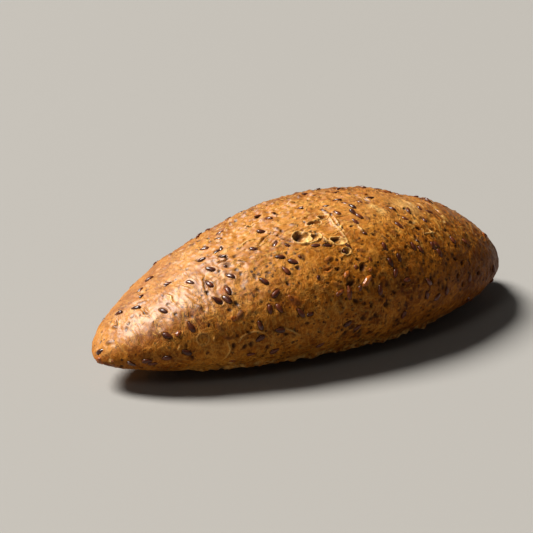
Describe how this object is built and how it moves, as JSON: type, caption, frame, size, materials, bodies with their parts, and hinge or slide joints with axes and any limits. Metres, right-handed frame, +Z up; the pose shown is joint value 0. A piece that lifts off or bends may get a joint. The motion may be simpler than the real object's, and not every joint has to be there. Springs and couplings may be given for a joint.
{
  "type": "seeded loaf",
  "caption": "Spindle-shaped wholemeal roll with pointed ends, a domed golden-brown crust set with dark linseeds and grain, and a flat base to rest on.",
  "frame": {"origin": "on the surface the loaf rests on, under the middle of its bounding box", "axes": "+X along the loaf towards its fuller end, +Y across it, +Z up"},
  "size_m": [0.19, 0.086, 0.0539],
  "materials": {
    "crust": "satin",
    "linseed": "gloss",
    "grain": "satin"
  },
  "bodies": {
    "root": {"loaf": "crust"}
  },
  "joints": []
}
